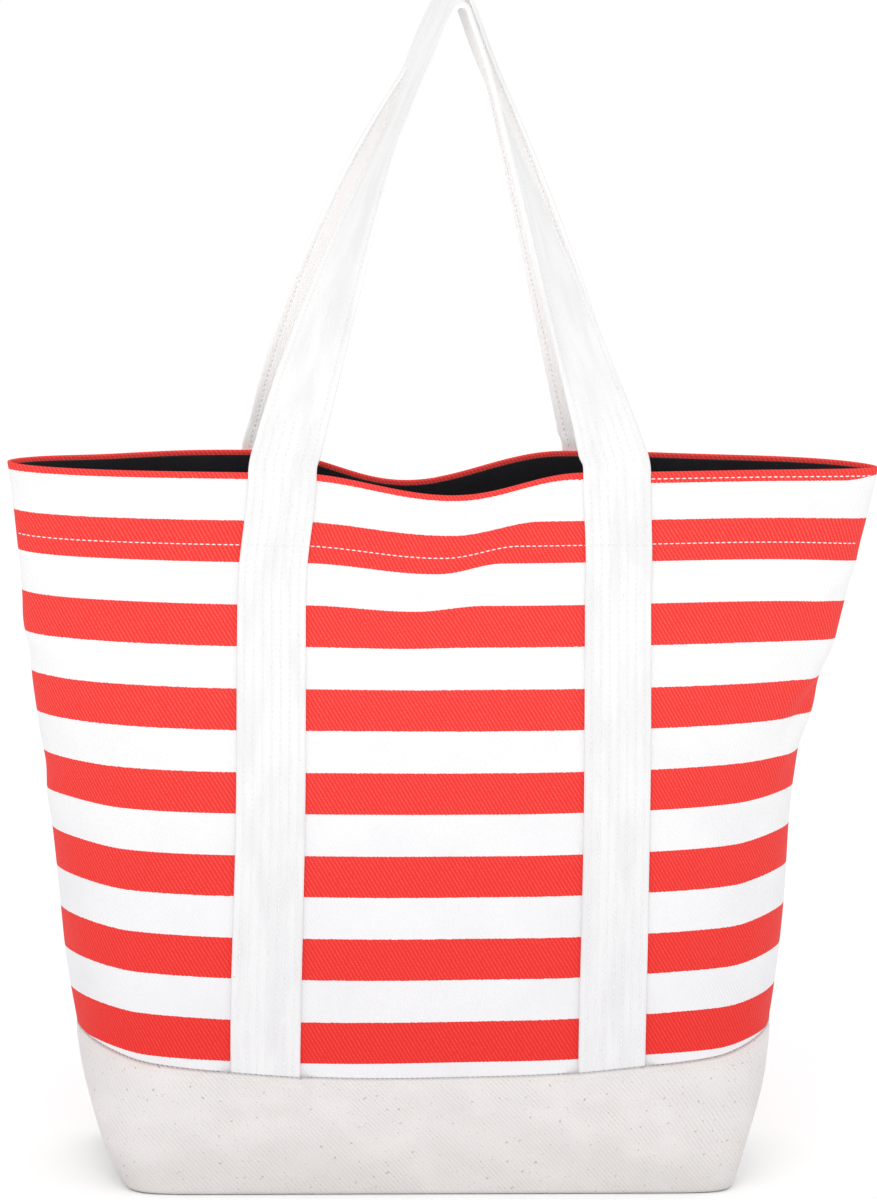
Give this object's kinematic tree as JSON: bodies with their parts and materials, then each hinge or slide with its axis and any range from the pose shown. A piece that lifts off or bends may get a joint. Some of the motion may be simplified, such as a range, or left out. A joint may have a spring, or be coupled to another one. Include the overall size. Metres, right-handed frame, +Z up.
{
  "type": "tote bag",
  "caption": "Lined canvas tote bag with horizontal stripes, a plain natural base and two long strap handles that swing over the rim.",
  "frame": {"origin": "middle of the base, on the surface the bag stands on", "axes": "+Z up, +X to the right along the mouth, -Y the front"},
  "size_m": [0.484, 0.1546, 0.6725],
  "materials": {
    "striped_canvas": "matte twill, red stripes on white",
    "natural_canvas": "matte twill with dark flecks",
    "strap": "matte folded canvas",
    "lining": "smooth plain weave, slight sheen",
    "thread": "matte thread"
  },
  "bodies": {
    "bag": {"front_panel": "striped_canvas", "back_panel": "striped_canvas", "base_front": "natural_canvas", "base_back": "natural_canvas", "base_bottom": "natural_canvas", "lining_front": "lining", "lining_back": "lining", "lining_bottom": "lining", "front_handle_leg_left": "strap", "front_handle_leg_right": "strap", "back_handle_leg_left": "strap", "back_handle_leg_right": "strap", "rim_stitching_front": "thread", "rim_stitching_back": "thread", "hem_stitching_front": "thread", "hem_stitching_back": "thread", "base_stitching_front": "thread", "base_stitching_back": "thread", "front_leg_stitching": "thread", "back_leg_stitching": "thread"},
    "front_handle": {"front_handle_loop": "strap", "front_loop_stitching": "thread"},
    "back_handle": {"back_handle_loop": "strap", "back_loop_stitching": "thread"}
  },
  "joints": [
    {"name": "front_handle_swing", "type": "hinge", "parent": "bag", "child": "front_handle", "pos_m": [0, -0.03452, 0.412], "axis": [1, 0, 0], "range_deg": [0, 150]},
    {"name": "back_handle_swing", "type": "hinge", "parent": "bag", "child": "back_handle", "pos_m": [0, 0.03452, 0.412], "axis": [-1, 0, 0], "range_deg": [0, 150]}
  ]
}
